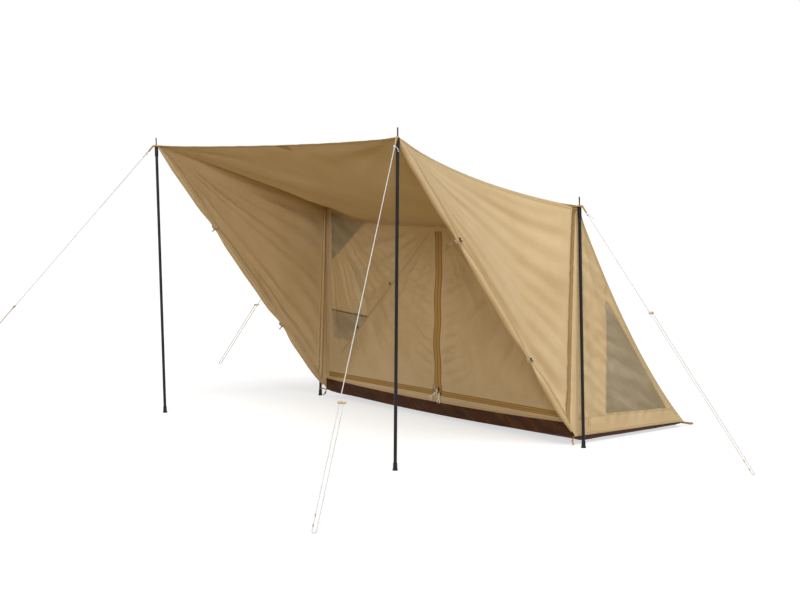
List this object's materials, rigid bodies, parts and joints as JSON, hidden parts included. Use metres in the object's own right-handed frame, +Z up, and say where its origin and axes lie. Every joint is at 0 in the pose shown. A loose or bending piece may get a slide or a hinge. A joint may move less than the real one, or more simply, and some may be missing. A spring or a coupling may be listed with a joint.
{
  "type": "pup tent",
  "caption": "Low ridge tent on sectional poles, with a propped front canopy, rolled side wings, a zipped front wall, net windows and taut guylines.",
  "frame": {"origin": "on the ground, under the middle of the groundsheet", "axes": "+X along the ridge, to the right of someone facing the front wall; +Y to the rear; +Z up"},
  "size_m": [5.1758, 3.2056, 1.57],
  "materials": {
    "canvas": "waxed sand cotton canvas, matt plain weave",
    "netting": "fine grey-brown polyester netting",
    "sheeting": "dark brown coated polyester groundsheet, low sheen",
    "zip_tape": "woven brown zip tape with a dark coil",
    "pole_steel": "black enamelled steel tube",
    "pole_tip": "black rubber foot",
    "rope": "off-white braided cord",
    "adjuster_wood": "pale beech, oiled",
    "toggle_horn": "dark horn-like plastic",
    "slider_metal": "antiqued brass zip slider"
  },
  "bodies": {
    "root": {"canopy": "canvas", "canopy_pole_left_bottom": "pole_steel", "canopy_pole_left_foot": "pole_tip", "canopy_pole_left_lower": "pole_steel", "canopy_pole_left_top": "pole_steel", "canopy_pole_left_upper": "pole_steel", "canopy_pole_right_bottom": "pole_steel", "canopy_pole_right_foot": "pole_tip", "canopy_pole_right_lower": "pole_steel", "canopy_pole_right_top": "pole_steel", "canopy_pole_right_upper": "pole_steel", "end_net_left": "netting", "end_net_right": "netting", "end_wall_left": "canvas", "end_wall_right": "canvas", "front_net_left": "netting", "front_net_right": "netting", "front_panel_left": "canvas", "front_panel_right": "canvas", "front_sill": "canvas", "groundsheet": "sheeting", "guyline_front_left": "rope", "guyline_front_right": "rope", "guyline_rear_left": "rope", "guyline_rear_right": "rope", "pocket_net_left": "netting", "pocket_net_right": "netting", "rear_roof": "canvas", "ridge_pole_left_foot": "pole_tip", "ridge_pole_left_lower": "pole_steel", "ridge_pole_left_middle": "pole_steel", "ridge_pole_left_upper": "pole_steel", "ridge_pole_right_foot": "pole_tip", "ridge_pole_right_lower": "pole_steel", "ridge_pole_right_middle": "pole_steel", "ridge_pole_right_upper": "pole_steel", "wing_left": "canvas", "wing_right": "canvas", "wing_roll_left": "canvas", "wing_roll_right": "canvas", "zip_tape_bottom": "zip_tape"},
    "door_left": {"door_left": "canvas", "zip_tape_left": "zip_tape"},
    "door_right": {"door_right": "canvas", "zip_tape_right": "zip_tape"},
    "slider_centre": {"slider_centre": "slider_metal"},
    "slider_left": {"slider_left": "slider_metal"},
    "slider_right": {"slider_right": "slider_metal"},
    "pull_centre": {"pull_centre": "rope"},
    "pull_left": {"pull_left": "rope"},
    "pull_right": {"pull_right": "rope"},
    "adjuster_front_left": {"adjuster_front_left": "adjuster_wood"},
    "adjuster_front_right": {"adjuster_front_right": "adjuster_wood"},
    "adjuster_rear_left": {"adjuster_rear_left": "adjuster_wood"},
    "adjuster_rear_right": {"adjuster_rear_right": "adjuster_wood"},
    "toggle_lower_left": {"toggle_lower_left": "toggle_horn"},
    "toggle_lower_right": {"toggle_lower_right": "toggle_horn"},
    "toggle_upper_left": {"toggle_upper_left": "toggle_horn"},
    "toggle_upper_right": {"toggle_upper_right": "toggle_horn"}
  },
  "joints": [
    {"name": "door_left_swing", "type": "hinge", "parent": "root", "child": "door_left", "pos_m": [-0.48, -0.445, 0.68556], "axis": [-0.7608, 0, -0.649], "range_deg": [0, 135]},
    {"name": "door_right_swing", "type": "hinge", "parent": "root", "child": "door_right", "pos_m": [0.48, -0.445, 0.68556], "axis": [-0.7608, 0, 0.649], "range_deg": [0, 135]},
    {"name": "zip_centre_slide", "type": "slide", "parent": "root", "child": "slider_centre", "axis": [0, 0, 1], "range_m": [0, 0.868]},
    {"name": "zip_left_slide", "type": "slide", "parent": "root", "child": "slider_left", "axis": [-1, 0, 0], "range_m": [0, 0.96]},
    {"name": "zip_right_slide", "type": "slide", "parent": "root", "child": "slider_right", "axis": [1, 0, 0], "range_m": [0, 0.96]},
    {"name": "pull_centre_swing", "type": "hinge", "parent": "slider_centre", "child": "pull_centre", "pos_m": [0, -0.45, 0.168], "axis": [-1, 0, 0], "range_deg": [0, 110]},
    {"name": "pull_left_swing", "type": "hinge", "parent": "slider_left", "child": "pull_left", "pos_m": [-0.02, -0.45, 0.145], "axis": [-1, 0, 0], "range_deg": [0, 110]},
    {"name": "pull_right_swing", "type": "hinge", "parent": "slider_right", "child": "pull_right", "pos_m": [0.02, -0.45, 0.145], "axis": [-1, 0, 0], "range_deg": [0, 110]},
    {"name": "adjuster_front_left_slide", "type": "slide", "parent": "root", "child": "adjuster_front_left", "axis": [0.4109, 0.5203, 0.7486], "range_m": [0, 0.12]},
    {"name": "adjuster_front_right_slide", "type": "slide", "parent": "root", "child": "adjuster_front_right", "axis": [-0.405, 0.4999, 0.7655], "range_m": [0, 0.12]},
    {"name": "adjuster_rear_left_slide", "type": "slide", "parent": "root", "child": "adjuster_rear_left", "axis": [0.8263, -0.1488, 0.5432], "range_m": [0, 0.12]},
    {"name": "adjuster_rear_right_slide", "type": "slide", "parent": "root", "child": "adjuster_rear_right", "axis": [-0.6499, -0.0639, 0.7573], "range_m": [0, 0.12]},
    {"name": "toggle_lower_left_turn", "type": "hinge", "parent": "root", "child": "toggle_lower_left", "pos_m": [-1.1421, -0.75793, 0.45987], "axis": [-0.9999, 0.0065, -0.0086], "range_deg": [0, 90]},
    {"name": "toggle_lower_right_turn", "type": "hinge", "parent": "root", "child": "toggle_lower_right", "pos_m": [1.1421, -0.75793, 0.45987], "axis": [0.9999, 0.0065, -0.0086], "range_deg": [0, 90]},
    {"name": "toggle_upper_left_turn", "type": "hinge", "parent": "root", "child": "toggle_upper_left", "pos_m": [-1.15018, -1.2096, 1.05464], "axis": [-0.9999, 0.0065, -0.0086], "range_deg": [0, 90]},
    {"name": "toggle_upper_right_turn", "type": "hinge", "parent": "root", "child": "toggle_upper_right", "pos_m": [1.15018, -1.2096, 1.05464], "axis": [0.9999, 0.0065, -0.0086], "range_deg": [0, 90]}
  ]
}
